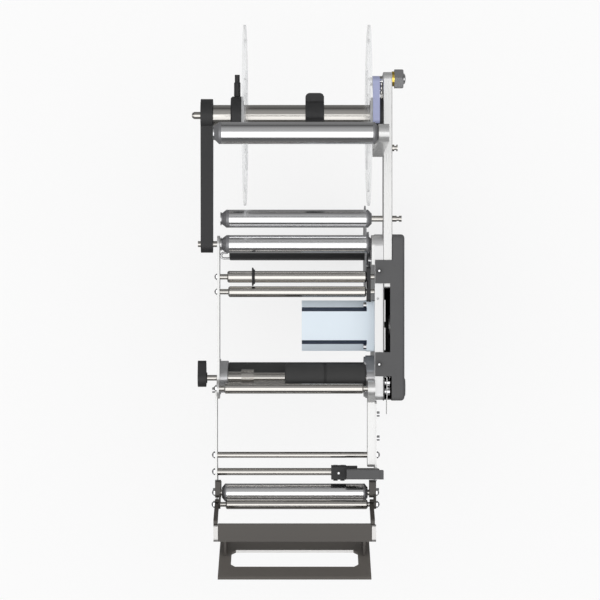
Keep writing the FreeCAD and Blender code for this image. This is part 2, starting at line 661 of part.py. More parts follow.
# ---- dancer and outboard arm ------------------------------------------------
def dancer_arm():
    """The long arm that carries the dancer roller above the reel."""
    top = (DANCER_ROLLER_Y, DANCER_ROLLER_Z, 14)
    root = (DANCER_Y, DANCER_Z, 15)
    solid = lobe_pair(121, 137, root, top)
    solid = solid.cut(plate(120, 127, [(245, 26, 6), (263, 26, 6), (263, 250, 6), (245, 250, 6)]))
    return drilled(solid, 121, 137, [(DANCER_Y, DANCER_Z, 5.5), (DANCER_ROLLER_Y, DANCER_ROLLER_Z, 5)])


def dancer_spindles():
    """The dancer's pivot shaft, with its grooved tail, and the roller's axle."""
    pivot = turned(DANCER_Y, DANCER_Z, [
        (123, 0), (123, 5.5), (153.6, 5.5), (157, 5.5), (157, 3.4), (160.6, 3.4), (160.6, 5.5),
        (162.5, 5.5), (162.5, 0),
    ])
    return [pivot, rod(-126, 137, DANCER_ROLLER_Y, DANCER_ROLLER_Z, GUIDE_AXLE_R)]


def outboard_arm():
    """The black swing arm that steadies the reel's outer end, hooked on its pin."""
    hub = (CENTRE_ROLLER_Y, 0, 14.4)
    head = (REEL_Y, REEL_Z, 27.3)
    rail = plate(-165, -145, [
        (CENTRE_ROLLER_Y, -14.4), (REEL_Y, -20), (REEL_Y, 20), (CENTRE_ROLLER_Y, 14.4),
    ])
    solid = fused(rail, rod(-165, -145, *hub), rod(-165, -145, *head))
    mouth = plate(-166, -144, [
        (REEL_Y - 6.1, 0), (REEL_Y + 6.1, 0), (REEL_Y + 10, -30), (REEL_Y - 10, -30),
    ])
    solid = solid.cut(mouth).cut(rod(-166, -144, REEL_Y, REEL_Z, 6 + RUN))
    return solid.cut(rod(-166, -144, CENTRE_ROLLER_Y, 0, GUIDE_AXLE_R + RUN))


# ---- rollers ----------------------------------------------------------------
def guide_roller(y, z, radius, body, caps):
    """A guide roller: a thin aluminium tube with a shaped bearing cap in each end."""
    low, high = body
    inner = radius - 2.2
    bore = GUIDE_AXLE_R + RUN
    tube = ring(low, high, y, z, radius, inner)
    made = [tube]
    for face, end in ((low, caps[0]), (high, caps[1])):
        side = 1 if end > face else -1
        reach = abs(end - face)
        made.append(turned(y, z, [
            (face - side * 9, bore), (face - side * 9, inner), (face, inner), (face, radius),
            (face + side * reach * 0.35, radius), (face + side * reach * 0.85, radius * 0.66),
            (end, radius * 0.6), (end, bore),
        ]))
    return made


def steel_roller(y, z, radius, x0, x1, bore):
    """A plain steel tube roller with chamfered ends on a still shaft."""
    return turned(y, z, [
        (x0, bore), (x0, radius - 2), (x0 + 2, radius), (x1 - 2, radius), (x1, radius - 2), (x1, bore),
    ])


def guide_collar():
    """The thin collar that guides the web's outer edge."""
    return turned(UPPER_STEEL_Y, 0, [
        (-80, 9.8), (-80, 15.3), (-78, 15.3), (-76.5, 12), (-75, 12), (-75, 9.8),
    ])


# ---- nip --------------------------------------------------------------------
def traction_roller():
    """The driven roller: steel shaft, and a rubber-faced barrel with end recesses."""
    shaft = turned(NIP_Y, TRACTION_Z, [
        (-134, 0), (-134, TRACTION_SHAFT_R), (150.6, TRACTION_SHAFT_R), (150.6, 0),
    ])
    barrel = turned(NIP_Y, TRACTION_Z, [
        (-120, TRACTION_SHAFT_R), (-120, TRACTION_R - 1), (-119, TRACTION_R), (107, TRACTION_R),
        (107, TRACTION_SHAFT_R),
    ])
    return [shaft, barrel]


def bearing_housings():
    """The ribbed outboard nip housing, the drive-side one, and the rewinder's flange."""
    nip = (NIP_Y, NIP_ECCENTRIC)
    outboard = lobe_pair(LEFT_BAR_IN, -120.5, (NIP_Y, TRACTION_Z, 27), nip + (13,))
    for x in (-130.5, -126.5):
        outboard = outboard.cut(ring(x, x + 2, NIP_Y, TRACTION_Z, 40, 24.5).common(
            block(x, x + 2, NIP_Y - 40, NIP_Y + 40, -90, -48)))
    outboard = outboard.cut(rod(-132, -120, NIP_Y, TRACTION_Z, BEARING_6202[1]))
    outboard = outboard.cut(rod(-134, -131, NIP_Y, TRACTION_Z, 12))
    outboard = drilled(outboard, LEFT_BAR_IN, -120.5, [nip + (4.75 + RUN,)])
    drive = lobe_pair(110.5, PLATE_IN, (NIP_Y, TRACTION_Z, 36), nip + (14,))
    lip = ring(107.5, 110.5, NIP_Y, TRACTION_Z, 34, 25.2)
    drive = fused(drive, lip)
    drive = drive.cut(block(100, 110.5, NIP_Y - 30, NIP_Y + 30, -25, 20))
    drive = drilled(drive, 107, PLATE_IN, [(NIP_Y, TRACTION_Z, TRACTION_SHAFT_R + 1), nip + (4.75 + RUN,)])
    rewind = turned(REWIND_Y, REWIND_Z, [
        (118.6, REWIND_SHAFT_R + 1), (118.6, 26), (121, 31), (PLATE_IN, 31), (PLATE_IN, REWIND_SHAFT_R + 1),
    ])
    return [outboard, drive, rewind]


def nip_spindle():
    """The eccentric spindle: end pins on the lever's axis, middle on the roller's."""
    left = rod(-156, -119.4, NIP_Y, NIP_ECCENTRIC, 4.75)
    right = rod(109.4, 123, NIP_Y, NIP_ECCENTRIC, 4.75)
    middle = rod(-119.4, 109.4, NIP_Y, 0, 6.0)
    web = [lobe_pair(x, x + 0.7, (NIP_Y, 0, 6.0), (NIP_Y, NIP_ECCENTRIC, 4.75)) for x in (-120.1, 109.4)]
    return fused(left, middle, right, *web)


def nip_lever():
    """The short eccentric hand lever that opens the nip."""
    grip = lobe_pair(-170, -156, (NIP_Y + 20, NIP_ECCENTRIC, 8.6), (NIP_Y, NIP_ECCENTRIC, 15.2))
    solid = fused(grip, rod(-156, -154.5, NIP_Y, NIP_ECCENTRIC, 9))
    return solid.cut(rod(-160, -150, NIP_Y, NIP_ECCENTRIC, 4.75))


def pressure_shaft():
    """The pressure roller's steel tube with its end sleeve and clamp collar."""
    bore = 6 + RUN
    sleeve = turned(NIP_Y, 0, [(-119.2, bore), (-119.2, 10.5), (-97.5, 10.5), (-97.5, bore)])
    tube = ring(-97.5, 109.2, NIP_Y, 0, 8.75, bore)
    collar = ring(-97.5, -76.7, NIP_Y, 0, 14, 8.75)
    collar = collar.cut(block(-98, -76, NIP_Y - 1, NIP_Y + 1, 5, 20))
    return [sleeve, tube, collar]


def pressure_sleeves():
    """The two rubber sleeves and the split collar between them."""
    first = turned(NIP_Y, 0, [
        (-25, 8.75), (-25, 21.5), (-23, PRESSURE_R), (39.5, PRESSURE_R), (39.5, 8.75),
    ])
    second = turned(NIP_Y, 0, [
        (44, 8.75), (44, PRESSURE_R), (107.2, PRESSURE_R), (109.2, 21.5), (109.2, 8.75),
    ])
    middle = ring(39.5, 44, NIP_Y, 0, 21.5, 8.75)
    return [first, second, middle]


# ---- rewinder ---------------------------------------------------------------
CLIP_Y, CLIP_Z = REWIND_Y - 17.0, REWIND_Z + 7.2


def rewind_mandrel():
    """The waste rewinder's drum on its shaft, grooved for the clip."""
    drum = turned(REWIND_Y, REWIND_Z, [
        (-127, REWIND_SHAFT_R), (-127, REWIND_R - 1.5), (-125.5, REWIND_R), (115.8, REWIND_R),
        (115.8, REWIND_SHAFT_R),
    ])
    groove = rod(-130, 111, CLIP_Y, CLIP_Z, 2.0 + RUN)
    slit = block(-130, 111, CLIP_Y - 8, CLIP_Y, CLIP_Z - 2.05, CLIP_Z + 2.05)
    return [drum.cut(groove).cut(slit), rod(-127, 162, REWIND_Y, REWIND_Z, REWIND_SHAFT_R)]


def rewind_flange():
    """The thin flange that keeps the waste web on the drum."""
    return turned(REWIND_Y, REWIND_Z, [
        (115.8, 20.5), (115.8, 78), (118, 78), (118, REWIND_SHAFT_R), (115.8, REWIND_SHAFT_R),
    ])


def rewind_clip():
    """The bent wire clip that holds the web's end on the drum, with a J at its end."""
    wire_r = 2.0
    turn_x = -137.0
    turn_r = 5.0
    leg = rod(turn_x, 110, CLIP_Y, CLIP_Z, wire_r)
    section = Part.Face(Part.Wire(Part.makeCircle(wire_r, V(turn_x, CLIP_Y, CLIP_Z), ALONG_X)))
    bend = section.revolve(V(turn_x, CLIP_Y + turn_r, CLIP_Z), V(0, 0, 1), -180)
    tail = rod(turn_x, turn_x + 7, CLIP_Y + 2 * turn_r, CLIP_Z, wire_r)
    return fused(leg, bend, tail)


# ---- label sensor -----------------------------------------------------------
CLAMP_SCREW_Y = -287.0
SENSOR_Y = (-296.0, -279.2)


def sensor_holder():
    """The block that slides on the sensor rod, with its wing and bent fixing tabs."""
    solid = plate(52, 77, [(-298, -9, 2), (-275.5, -9, 2), (-275.5, 20, 2), (-298, 20, 2)])
    back = block(77, 95, -279.2, -275.5, 6.5, 22)
    clamp = [block(55.5 + dx, 62.5 + dx, y0, y1, 12, 18)
             for dx in (0, 11.5) for y0, y1 in ((-275.5, -273.7), (-299.8, -298))]
    solid = fused(solid, back, *clamp)
    solid = solid.cut(Part.makeCylinder(1.8, 16, V(64, CLAMP_SCREW_Y, 5)))
    return drilled(solid, 51, 78, [(SENSOR_ROD_Y, 0, SENSOR_ROD_R + RUN)])


def label_sensor():
    """The fork sensor: two jaws with a slot between for the web."""
    low, high = SENSOR_Y
    solid = plate(77, 131, [(low, 20, 1.5), (high, 20, 1.5), (high, 40, 2), (low, 40, 2)])
    solid = fused(solid, block(131, 138, low, high - 2.5, 20.5, 39))
    return solid.cut(block(84, 140, low - 1, high + 1, 27.5, 32.5))


def sensor_screw():
    """The slotted clamp screw on top of the sensor block."""
    head = Part.makeCylinder(3.4, 2.4, V(64, CLAMP_SCREW_Y, 20))
    shank = Part.makeCylinder(1.8, 20 - SENSOR_ROD_R - GAP, V(64, CLAMP_SCREW_Y, SENSOR_ROD_R + GAP))
    return fused(head, shank).cut(block(60, 68, CLAMP_SCREW_Y - 0.5, CLAMP_SCREW_Y + 0.5, 21.4, 24))


# ---- peel end ---------------------------------------------------------------
def peel_side_blocks():
    """The blocks that carry the two peel rollers, each hooked over its side plate."""
    def half(x0, x1, ear0, ear1, plate0, plate1):
        main = plate(x0, x1, [(-300.8, -14), (-300.8, 16, 2), (-328, 16, 6), (-329.5, -14, 2)])
        ear = lobe_pair(ear0, ear1, (PEEL_B_Y, PEEL_B_Z, 7.5), (PEEL_A_Y, PEEL_A_Z, 12))
        tongue = plate(plate0, plate1, [(-304, -36, 4), (-304, -10), (-329.5, -10), (-329.5, -36, 4)])
        solid = fused(main, ear, tongue)
        solid = drilled(solid, x0, x1, [
            (PEEL_A_Y, PEEL_A_Z, GUIDE_AXLE_R), (PEEL_B_Y, PEEL_B_Z, PEEL_AXLE_B_R),
        ])
        return drilled(solid, plate0, plate1, [(-320, -26, 2.5)])
    return [
        half(-141, -132, -134.5, -132, -137.5, -132),
        half(115.3, 126.3, 122.3, 126.3, 117, PLATE_IN),
    ]


def tilt_arm(x0, x1):
    """One dark arm, hooked on the front axle, that holds the peel bar."""
    boss = rod(x0, x1, PEEL_B_Y, PEEL_B_Z, 8.5)
    riser = plate(x0, x1, [
        (-333, 14), (-345, 14, 5), (-349, 28, 20), (-366, 66, 8), (-393, 66, 5), (-393, 74.8, 2),
        (-366, 74.8), (-366, 86, 3), (-357, 86, 5), (-336, 26, 10),
    ])
    solid = fused(boss, riser)
    solid = solid.cut(rod(x0 - 1, x1 + 1, PEEL_B_Y, PEEL_B_Z, PEEL_AXLE_B_R + RUN))
    return solid.cut(block(x0 - 1, x1 + 1, PEEL_B_Y - 4.1, PEEL_B_Y + 4.1, PEEL_B_Z, PEEL_B_Z + 8.6))


def cheek_lug(x0, x1):
    """One light clamp block on an arm's pad, holding an end of the peel bar."""
    return plate(x0, x1, [(-366.2, 74.8), (-366.2, 86, 3), (-394, 86, 6), (-394, 74.8, 2)])


def beak_at(fraction, offset):
    """A point on the beak's section: along it from foot to tip, and off its back."""
    dy = BEAK_TIP[0] - BEAK_FOOT[0]
    dz = BEAK_TIP[1] - BEAK_FOOT[1]
    length = math.hypot(dy, dz)
    y = BEAK_FOOT[0] + dy * fraction + offset * dz / length
    z = BEAK_FOOT[1] + dz * fraction - offset * dy / length
    return (y, z)


def peel_bar():
    """The cross bar with a web at each end that the peel plate bolts to."""
    solid = fused(
        block(-133.6, 115.2, BAR_FRONT, BAR_BACK, BAR_LOW, BAR_TOP),
        block(115.0, 117.1, BAR_FRONT, -366.4, BAR_LOW, BAR_TOP),
    )
    for x0 in (-124.0, 102.6):
        low = beak_at(0.04, 0.0)
        high = beak_at(0.44, 0.0)
        web = plate(x0, x0 + 4, [
            low, high, (BAR_FRONT, BAR_TOP), (BAR_BACK - 2, BAR_TOP), (BAR_BACK - 2, BAR_LOW - 6, 4),
        ])
        solid = fused(solid, web)
    return solid


def peel_plate():
    """The steep peel plate: corner cuts, a wide window and a fine polished edge."""
    low = beak_at(0.0, 0.0)
    high = beak_at(0.965, 0.0)
    tip = beak_at(1.0, -BEAK_T * 0.6)
    section = [low, high, tip, beak_at(0.985, -BEAK_T), beak_at(0.0, -BEAK_T)]
    solid = plate(-131.7, 114.3, section)
    foot = beak_at(0.287, 0)[1]
    head = beak_at(0.714, 0)[1]
    cut = 7.0
    window = Part.Face(Part.makePolygon([
        V(-112 + cut, -500, foot), V(94.5 - cut, -500, foot), V(94.5, -500, foot + cut),
        V(94.5, -500, head - cut), V(94.5 - cut, -500, head), V(-112 + cut, -500, head),
        V(-112, -500, head - cut), V(-112, -500, foot + cut), V(-112 + cut, -500, foot),
    ])).extrude(V(0, 150, 0))
    return solid.cut(window)


def build():
    """Write every node."""
    steel_bore = STEEL_SHAFT_R + RUN
    nodes = {
        "main_plate": [main_plate()],
        "reel_column": [reel_column()],
        "inner_bracket": [inner_bracket()],
        "left_bar": [left_bar()],
        "right_arm": [right_arm()],
        "peel_side_plates": peel_side_plates(),
        "fixed_shafts": fixed_shafts(),
        "dome_nuts": dome_nuts(),
        "socket_screws": socket_screws(),
        "edge_guide": [edge_guide()],
        "drive_cover": [drive_cover()],
        "connector_panel": [connector_panel()],
        "panel_sockets": panel_sockets(),
        "drive_motor": [drive_motor()],
        "motor_pulley": motor_rotor(),
        "drive_belts": drive_belts(),
        "ball_bearings": ball_bearings(),
        "reel_mandrel": reel_mandrel(),
        "inner_reel_disc": [reel_disc(INNER_DISC_X, REEL_TUBE_R)],
        "outer_reel_disc": [reel_disc(OUTER_DISC_X, REEL_TUBE_R + RUN)],
        "core_adapter": [core_adapter()],
        "clamp_hub": [clamp_hub()],
        "hub_knob": [hub_knob()],
        "brake_drum": [brake_drum()],
        "brake_lever": [brake_lever()],
        "brake_adjuster": brake_adjuster(),
        "brake_spring": [brake_spring()],
        "brake_washer": [brake_washer()],
        "dancer_arm": [dancer_arm()],
        "dancer_spindles": dancer_spindles(),
        "dancer_roller": guide_roller(
            DANCER_ROLLER_Y, DANCER_ROLLER_Z, DANCER_ROLLER_R, (-120.5, 112), (-132.4, 120.6)),
        "outboard_arm": [outboard_arm()],
        "rear_guide_roller": guide_roller(REAR_ROLLER_Y, 0, GUIDE_R, (-117.8, 110.2), (-131.2, 119.3)),
        "centre_guide_roller": guide_roller(CENTRE_ROLLER_Y, 0, GUIDE_R, (-117.8, 110.2), (-131.2, 118.7)),
        "upper_steel_roller": [steel_roller(UPPER_STEEL_Y, 0, 9.8, -121, 110.7, steel_bore)],
        "guide_collar": [guide_collar()],
        "lower_steel_roller": [steel_roller(LOWER_STEEL_Y, 0, 9.0, -119.3, 110, steel_bore)],
        "front_steel_roller": [steel_roller(FRONT_STEEL_Y, FRONT_STEEL_Z, 8.75, -125, 104.8, steel_bore)],
        "traction_roller": traction_roller(),
        "traction_pulley": [
            flanged_pulley(NIP_Y, TRACTION_Z, TRACTION_PULLEY_R, (BELT_A,), TRACTION_SHAFT_R)],
        "bearing_housings": bearing_housings(),
        "nip_spindle": [nip_spindle()],
        "nip_lever": [nip_lever()],
        "pressure_shaft": pressure_shaft(),
        "pressure_sleeves": pressure_sleeves(),
        "rewind_mandrel": rewind_mandrel(),
        "rewind_flange": [rewind_flange()],
        "rewind_clip": [rewind_clip()],
        "rewind_pulley": [
            flanged_pulley(REWIND_Y, REWIND_Z, REWIND_PULLEY_R, (BELT_B,), REWIND_SHAFT_R)],
        "sensor_holder": [sensor_holder()],
        "label_sensor": [label_sensor()],
        "sensor_screw": [sensor_screw()],
        "peel_side_blocks": peel_side_blocks(),
        "peel_guide_roller": guide_roller(PEEL_A_Y, PEEL_A_Z, GUIDE_R, (-122, 105), (-130, 112.5)),
        "peel_steel_roller": [steel_roller(PEEL_B_Y, PEEL_B_Z, PEEL_B_R, -123, 112, PEEL_AXLE_B_R + RUN)],
        "tilt_arms": [tilt_arm(*TILT_LEFT), tilt_arm(*TILT_RIGHT)],
        "cheek_lugs": [cheek_lug(-141, -133.7), cheek_lug(117.2, 123.9)],
        "peel_bar": [peel_bar()],
        "peel_plate": [peel_plate()],
    }
    for name, solids in nodes.items():
        save(name, *solids)


build()
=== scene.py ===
import json
import math

import bpy
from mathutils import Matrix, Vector


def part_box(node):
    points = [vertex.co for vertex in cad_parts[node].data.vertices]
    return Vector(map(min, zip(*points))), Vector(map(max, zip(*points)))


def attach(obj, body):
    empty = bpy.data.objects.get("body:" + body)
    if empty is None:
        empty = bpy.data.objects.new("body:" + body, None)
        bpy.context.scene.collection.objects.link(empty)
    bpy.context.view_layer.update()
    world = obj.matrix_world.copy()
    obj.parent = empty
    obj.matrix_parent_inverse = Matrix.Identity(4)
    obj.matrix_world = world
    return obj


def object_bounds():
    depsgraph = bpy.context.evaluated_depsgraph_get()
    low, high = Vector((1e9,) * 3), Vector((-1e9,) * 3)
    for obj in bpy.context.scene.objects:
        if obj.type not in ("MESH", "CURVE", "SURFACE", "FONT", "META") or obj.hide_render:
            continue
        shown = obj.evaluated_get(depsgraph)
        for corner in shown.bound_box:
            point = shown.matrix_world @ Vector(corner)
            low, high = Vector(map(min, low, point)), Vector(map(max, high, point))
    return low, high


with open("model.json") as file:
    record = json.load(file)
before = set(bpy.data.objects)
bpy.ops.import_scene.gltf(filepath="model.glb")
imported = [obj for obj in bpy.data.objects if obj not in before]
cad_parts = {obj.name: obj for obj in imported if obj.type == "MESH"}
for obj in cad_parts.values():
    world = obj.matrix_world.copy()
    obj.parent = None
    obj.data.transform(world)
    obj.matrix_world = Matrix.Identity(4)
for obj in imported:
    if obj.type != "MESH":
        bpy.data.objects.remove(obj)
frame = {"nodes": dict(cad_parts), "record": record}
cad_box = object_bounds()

nodes = frame["nodes"]
MM = 0.001

# ---- colours and grain -------------------------------------------------------
SATIN = (0.80, 0.80, 0.81)
CAP_GREY = (0.24, 0.24, 0.25)
GROUND_STEEL = (0.60, 0.58, 0.55)
NEAR_BLACK = (0.034, 0.034, 0.035)
DEEP_BLACK = (0.02, 0.02, 0.02)
SCREW_STEEL = (0.60, 0.60, 0.61)
LUG_GREY = (0.55, 0.54, 0.53)
PALE_BLUE = (0.82, 0.91, 0.99)
SLOT_SHADE_SLATE = (0.06, 0.08, 0.13)
# the dark anodised colour made about twice as light: painted light on the steep beak, which faces
# away from the light
BEAK_LIGHTENED_ANODISED = (0.150, 0.137, 0.124)
MILLED_EDGE_HIGHLIGHT = (0.62, 0.61, 0.60)
CLEAR_DULL = (0.90, 0.91, 0.92)
CLEAR_BRIGHT = (0.95, 0.96, 0.97)

ALONG_X = (60.0, 1.0, 1.0)      # grain lines that run along X
ALONG_Y = (1.0, 60.0, 1.0)
ROUND_X = (1.0, 40.0, 40.0)     # turning marks about X
EVEN = (1.0, 1.0, 1.0)

# ---- places of finishes, in mm -----------------------------------------------
CAP_LENGTHS = {                 # each guide roller's caps, at its free end and its drive end
    "dancer_roller": (11.9, 8.6),
    "rear_guide_roller": (13.4, 9.1),
    "centre_guide_roller": (13.4, 8.5),
    "peel_guide_roller": (8.0, 7.5),
}
CAP_EDGE = 0.3
SLOT_FROM, SLOT_TO = 24.5, 30.5         # the motor's corner slots, from its middle, whose walls get painted shade
FLANGE = 14.0                           # the motor's front flange, where the slots stop
SLOT_EDGE = 0.6
SCREW_GLINT, SCREW_HEAD = 1.9, 7.0        # radii of the painted glint in the socket and of the black head
SCREW_EDGE = 0.3
COVER_SCREWS = ((-0.0088, 0.1583), (-0.0088, 0.0033))       # (x, y) in metres


# ---- shader maths ------------------------------------------------------------
class Wire:
    """One output socket of a shader graph, used like a number."""

    def __init__(self, graph, socket):
        self.graph = graph
        self.socket = socket

    def maths(self, operation, first, second=0.0, clamp=False):
        """One Math node on two wires or numbers."""
        settings = {"operation": operation, "use_clamp": clamp}
        return self.graph.node("Math", settings, {0: first, 1: second})

    def __add__(self, other):
        return self.maths("ADD", self, other)

    def __radd__(self, other):
        return self.maths("ADD", other, self)

    def __sub__(self, other):
        return self.maths("SUBTRACT", self, other)

    def __rsub__(self, other):
        return self.maths("SUBTRACT", other, self)

    def __mul__(self, other):
        return self.maths("MULTIPLY", self, other)

    def __rmul__(self, other):
        return self.maths("MULTIPLY", other, self)

    def __truediv__(self, other):
        return self.maths("DIVIDE", self, other)

    def __rtruediv__(self, other):
        return self.maths("DIVIDE", other, self)

    def __pow__(self, other):
        return self.maths("POWER", self, other)

    def __lt__(self, other):
        return self.maths("LESS_THAN", self, other)

    def __abs__(self):
        return self.maths("ABSOLUTE", self)

    def held(self):
        """The same value kept between 0 and 1."""
        return self.maths("ADD", self, 0.0, clamp=True)

    def rise(self, low, high):
        """0 below low, 1 above high and smooth between."""
        settings = {"interpolation_type": "SMOOTHSTEP"}
        inputs = {0: self, 1: low, 2: high, 3: 0.0, 4: 1.0}
        return self.graph.node("MapRange", settings, inputs)

    def between(self, low, high, blur):
        """1 from low to high, falling to 0 over blur on each side."""
        return self.rise(low - blur, low) * (1.0 - self.rise(high, high + blur))


class Graph:
    """A node tree of a material or the world."""

    def __init__(self, tree):
        self.tree = tree

    def node(self, kind, settings=None, inputs=None, output=0):
        """Add one node: its settings first, then the values or links of its sockets."""
        made = self.tree.nodes.new("ShaderNode" + kind)
        for key, value in (settings or {}).items():
            setattr(made, key, value)
        for key, value in (inputs or {}).items():
            self.join(value, made.inputs[key])
        return Wire(self, made.outputs[output])

    def join(self, value, socket):
        """Link a wire to a socket, or write a plain value there."""
        if isinstance(value, Wire):
            self.tree.links.new(value.socket, socket)
        else:
            socket.default_value = value

    def mix(self, factor, first, second):
        """Blend two colours."""
        pair = [c + (1.0,) if isinstance(c, tuple) else c for c in (first, second)]
        inputs = {0: factor, 6: pair[0], 7: pair[1]}
        return self.node("Mix", {"data_type": "RGBA"}, inputs, output=2)

    def parts(self, vector):
        """The three parts of a vector."""
        split = self.node("SeparateXYZ", None, {0: vector})
        return [Wire(self, socket) for socket in split.socket.node.outputs]

    def rays(self):
        """1 for rays that are seen straight or through something clear, and 1 for reflections."""
        outputs = self.node("LightPath").socket.node.outputs
        names = ("Is Camera Ray", "Is Transmission Ray", "Is Glossy Ray")
        seen, through, glossy = (Wire(self, outputs[name]) for name in names)
        return (seen + through).held(), glossy


class Finish(Graph):
    """A material being built: its node graph and its Principled shader."""

    def __init__(self, name):
        self.name = name
        self.material = bpy.data.materials.new(name)
        self.material.use_nodes = True
        super().__init__(self.material.node_tree)
        self.shader = self.tree.nodes["Principled BSDF"]
        self.place = self.node("TexCoord", output="Object")
        self.facing = self.node("TexCoord", output="Normal")
        self.x, self.y, self.z = self.parts(self.place)

    def set(self, **values):
        """Set the shader's sockets; an underscore stands for a space."""
        for key, value in values.items():
            if isinstance(value, tuple):
                value = value + (1.0,)
            self.join(value, self.shader.inputs[key.replace("_", " ")])

    def tone(self):
        """The colour that feeds the shader now."""
        return Wire(self, self.shader.inputs["Base Color"].links[0].from_socket)

    def noise(self, size, detail=2.0, stretch=EVEN):
        """A soft noise from 0 to 1, in blobs about size across, longer where stretch is more."""
        scale = tuple(1.0 / (size * s) for s in stretch)
        inputs = {"Vector": self.place, "Scale": scale}
        vector = self.node("Mapping", None, inputs, output="Vector")
        inputs = {"Vector": vector, "Scale": 1.0, "Detail": detail}
        return self.node("TexNoise", None, inputs, output="Fac")

    def bump(self, height, depth):
        """Turn a height from 0 to 1 into the shader's normal; depth is in metres."""
        inputs = {"Height": height, "Distance": depth}
        self.set(Normal=self.node("Bump", None, inputs, output="Normal"))


def shade(colour, factor):
    """A colour made lighter or darker."""
    return tuple(min(1.0, c * factor) for c in colour)


# ---- finishes ----------------------------------------------------------------
def drawn(name, colour, rough, grain, metallic=1.0, vary=0.02, depth=0.0005):
    """A machined, ground or drawn metal, its fine lines as grain says; depth is in mm."""
    finish = Finish(name)
    lines = finish.noise(0.4 * MM, 3.0, grain)
    cloud = finish.noise(40 * MM)
    dark, light = shade(colour, 1 - vary), shade(colour, 1 + vary)
    finish.set(Base_Color=finish.mix(lines * 0.7 + cloud * 0.3, dark, light), Metallic=metallic)
    finish.set(Roughness=(rough + (lines - 0.5) * 0.04 + (cloud - 0.5) * 0.03).held())
    finish.bump(lines, depth * MM)
    return finish


def moulded(name, colour, rough, grain=0.5, depth=0.01, vary=0.08):
    """A moulded, painted or powder-coated surface; its stipple's grain and depth are in mm."""
    finish = Finish(name)
    stipple = finish.noise(grain * MM)
    cloud = finish.noise(30 * MM)
    dark, light = shade(colour, 1 - vary), shade(colour, 1 + vary)
    finish.set(Base_Color=finish.mix(cloud, dark, light), Specular_IOR_Level=0.25)
    finish.set(Roughness=(rough + (stipple - 0.5) * 0.12 + (cloud - 0.5) * 0.08).held())
    finish.bump(stipple, depth * MM)
    return finish


def turned_roller(name, low, high):
    """A satin turned tube from low to high along X, with darker bearing caps outside."""
    finish = Finish(name)
    rings = finish.noise(0.5 * MM, 2.0, ROUND_X)
    cap = 1.0 - finish.x.between(low, high, CAP_EDGE * MM)
    tube = finish.mix(rings, shade(SATIN, 0.98), shade(SATIN, 1.02))
    finish.set(Base_Color=finish.mix(cap, tube, CAP_GREY), Metallic=1.0 - cap * 0.6)
    finish.set(Roughness=(0.14 + rings * 0.03 + cap * 0.2).held())
    finish.bump(rings, 0.0004 * MM)
    return finish


def motor_skin(name):
    """Pale blue paint on the laminations, with painted shade in dark slate along the corner slots'
    walls.
    """
    low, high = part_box("drive_motor")
    finish = moulded(name, PALE_BLUE, 0.4, 0.8, 0.004, 0.015)
    side = abs(finish.y - (low.y + high.y) / 2)
    behind_flange = finish.x < high.x - FLANGE * MM
    # painted shade: the slots' steep walls are coloured dark slate where they would reflect dark
    slot = side.between(SLOT_FROM * MM, SLOT_TO * MM, SLOT_EDGE * MM) * behind_flange
    finish.set(Base_Color=finish.mix(slot, finish.tone(), SLOT_SHADE_SLATE), Metallic=slot * 0.5)
    return finish


def clear_sheet(name):
    """Clear cast acrylic with faint scuffs and a whiter cut edge."""
    finish = Finish(name)
    scuff = finish.noise(6 * MM, 4.0)
    edge = 1.0 - abs(finish.parts(finish.facing)[0]).rise(0.5, 0.9)
    finish.set(Base_Color=finish.mix(scuff, CLEAR_DULL, CLEAR_BRIGHT))
    finish.set(Roughness=(0.04 + scuff * 0.05).held())
    finish.set(Alpha=(0.05 + scuff * 0.02 + edge * 0.35).held())
    return finish


def beak_skin(name):
    """Dark anodised plate, lightened as painted light; its narrow edges along the beak that face
    up get a painted highlight as bright milled metal.
    """
    finish = drawn(name, BEAK_LIGHTENED_ANODISED, 0.42, ALONG_X, 0.15, 0.05)
    # painted highlight: faces pointing up are coloured as bright bare metal, partly the milled
    # edge's own metal
    upward_edge_highlight = finish.parts(finish.facing)[2].rise(0.80, 0.88)
    finish.set(Base_Color=finish.mix(upward_edge_highlight, finish.tone(), MILLED_EDGE_HIGHLIGHT), Metallic=0.15 + upward_edge_highlight * 0.5)
    return finish


def screw_skin(name, centres):
    """Bright screws; those at the (x, y) centres are black with a painted glint of bright steel in
    the middle.
    """
    finish = drawn(name, SCREW_STEEL, 0.16, EVEN)
    black = 0.0
    for x, y in centres:
        reach = ((finish.x - x) ** 2.0 + (finish.y - y) ** 2.0) ** 0.5
        # black oxide head around a painted glint: the socket inside the inner radius stays bright
        # steel
        black = black + reach.between(SCREW_GLINT * MM, SCREW_HEAD * MM, SCREW_EDGE * MM)
    black = black.held()
    finish.set(Base_Color=finish.mix(black, finish.tone(), DEEP_BLACK), Metallic=1.0 - black * 0.9)
    return finish


